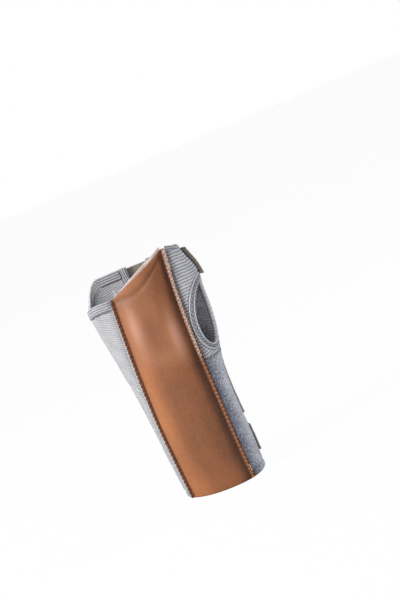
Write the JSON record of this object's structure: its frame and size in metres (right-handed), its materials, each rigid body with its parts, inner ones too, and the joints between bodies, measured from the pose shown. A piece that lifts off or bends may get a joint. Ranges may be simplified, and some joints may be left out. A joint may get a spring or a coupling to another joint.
{
  "type": "wrist splint",
  "caption": "Right-hand wrist splint: smooth leather palm panel over a removable metal stay, elastic ribbed sleeve with a bound thumb opening, open back closed by hook-and-loop straps.",
  "frame": {"origin": "middle of the bounding box, on the plane of the cuff edge it stands on", "axes": "+Z from the forearm cuff to the fingers, -Y out of the palm side, +X to the thumb side of the right hand"},
  "size_m": [0.1, 0.0602, 0.203],
  "materials": {
    "leather": "smooth satin brown leather",
    "lining": "cream foam-backed lining cloth",
    "seam": "overlocked beige and brown thread",
    "knit": "heather grey ribbed elastic knit",
    "plush": "blue-grey brushed loop cloth on foam",
    "binding": "grey braided edge binding",
    "strap_loop": "grey loop webbing",
    "hook": "taupe hook tape",
    "aluminium": "bare mill finish",
    "vinyl": "dipped vinyl",
    "spring_steel": "flattened coil, zinc coated"
  },
  "bodies": {
    "palm_side": {"leather_panel": "leather", "panel_lining": "lining", "thumb_binding": "binding", "thumb_side_cuff_hem": "plush", "thumb_side_edge_seam": "seam", "thumb_side_finger_hem": "binding", "thumb_side_opening_tape": "binding", "thumb_side_spring_stay": "spring_steel", "thumb_side_stay_channel": "plush", "thumb_side_wing": "plush", "ulnar_edge_seam": "seam", "web_knit": "knit"},
    "ulnar_flap": {"ulnar_cuff_hem": "knit", "ulnar_finger_hem": "binding", "ulnar_knit": "knit", "ulnar_opening_tape": "binding", "ulnar_spring_stay": "spring_steel", "ulnar_stay_channel": "knit", "hand_strap_base": "strap_loop", "wrist_strap_base": "strap_loop", "forearm_strap_base": "strap_loop"},
    "palm_stay": {"palmar_stay": "aluminium", "stay_cap_cuff_end": "vinyl", "stay_cap_finger_end": "vinyl"},
    "hand_strap": {"hand_strap": "strap_loop", "hand_strap_hook": "hook"},
    "wrist_strap": {"wrist_strap": "strap_loop", "wrist_strap_hook": "hook"},
    "forearm_strap": {"forearm_strap": "strap_loop", "forearm_strap_hook": "hook"}
  },
  "joints": [
    {"name": "ulnar_flap_opening", "type": "hinge", "parent": "palm_side", "child": "ulnar_flap", "pos_m": [-0.03137, -0.0216, 0.1], "axis": [0, 0, 1], "range_deg": [0, 60]},
    {"name": "palm_stay_removal", "type": "hinge", "parent": "palm_side", "child": "palm_stay", "pos_m": [-0.00087, 0.66992, 0.1], "axis": [-1, 0, 0], "range_deg": [0, 12]},
    {"name": "hand_strap_peel", "type": "hinge", "parent": "ulnar_flap", "child": "hand_strap", "pos_m": [-0.01577, 0.01935, 0.1805], "axis": [0, 0, 1], "range_deg": [0, 100]},
    {"name": "wrist_strap_peel", "type": "hinge", "parent": "ulnar_flap", "child": "wrist_strap", "pos_m": [-0.01632, 0.02459, 0.07133], "axis": [0, 0, 1], "range_deg": [0, 100]},
    {"name": "forearm_strap_peel", "type": "hinge", "parent": "ulnar_flap", "child": "forearm_strap", "pos_m": [-0.01629, 0.02889, 0.02317], "axis": [0, 0, 1], "range_deg": [0, 100]}
  ]
}
